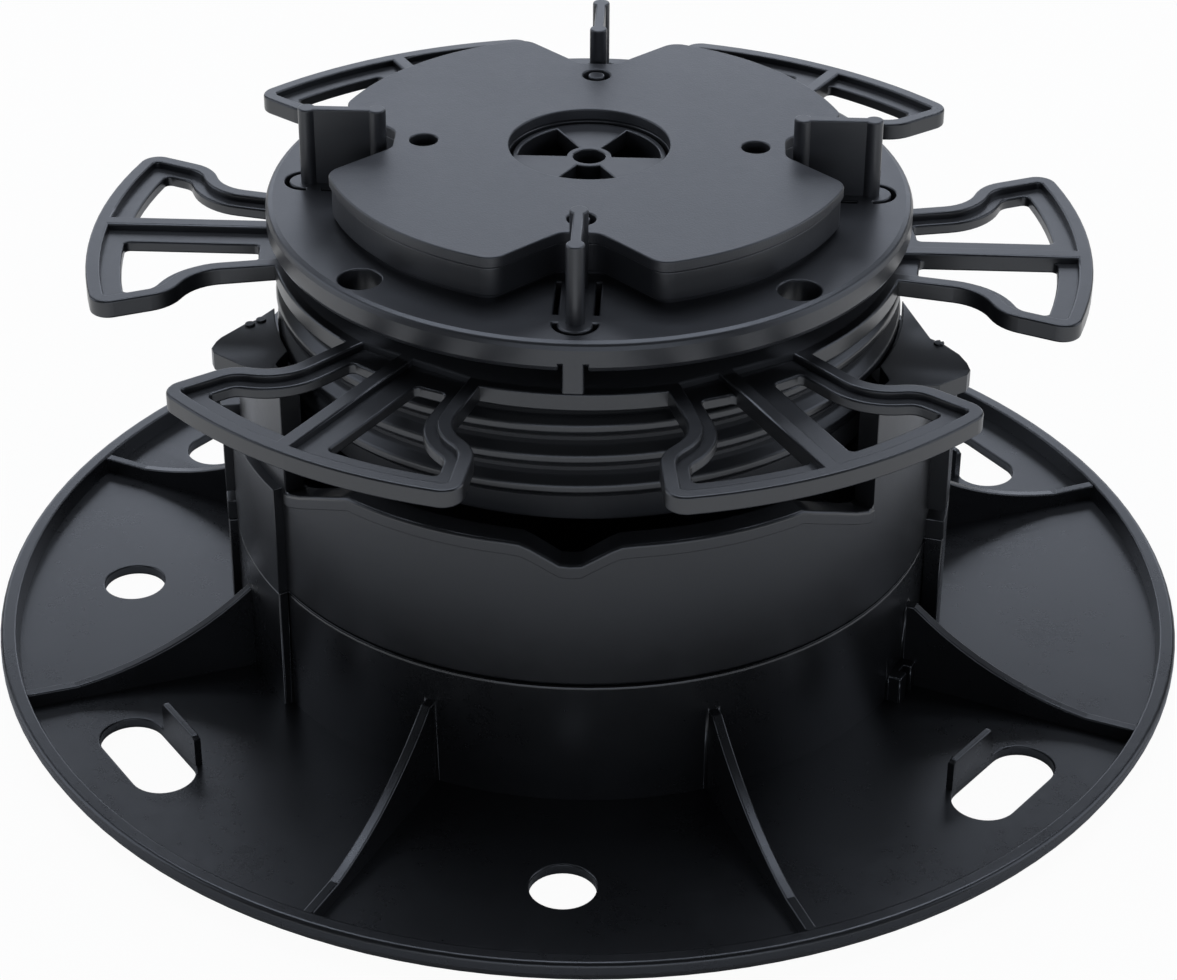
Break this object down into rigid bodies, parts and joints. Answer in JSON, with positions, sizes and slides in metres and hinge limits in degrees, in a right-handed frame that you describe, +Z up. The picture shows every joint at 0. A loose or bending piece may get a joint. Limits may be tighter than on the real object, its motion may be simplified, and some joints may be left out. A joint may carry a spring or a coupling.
{
  "type": "decking pedestal",
  "caption": "Height-adjustable decking pedestal: ribbed round base, collar, threaded sleeve with a lobed hand wheel, head plate with spacer fins and a soft pad.",
  "frame": {"origin": "middle of the base's underside", "axes": "+Z up along the screw axis, -Y to the front"},
  "size_m": [0.206, 0.206, 0.0957],
  "materials": {
    "black_plastic": "satin moulded",
    "spacer_plastic": "satin moulded",
    "pad_rubber": "fine matte"
  },
  "bodies": {
    "base": {"base": "black_plastic", "collar": "black_plastic"},
    "head": {"head_plate": "black_plastic", "lower_pad": "spacer_plastic", "upper_pad": "pad_rubber"},
    "wheel": {"spindle": "black_plastic"}
  },
  "joints": [
    {"name": "head_lift", "type": "slide", "parent": "base", "child": "head", "axis": [0, 0, 1], "range_m": [-0.0063, 0.0054]},
    {"name": "wheel_turn", "type": "hinge", "parent": "head", "child": "wheel", "pos_m": [0, 0, 0.0719], "axis": [0, 0, 1], "range_deg": [-419.9, 359.9]}
  ],
  "couplings": [
    {"joint": "head_lift", "follows": "wheel_turn", "m_per_rad": 0.00085944}
  ]
}
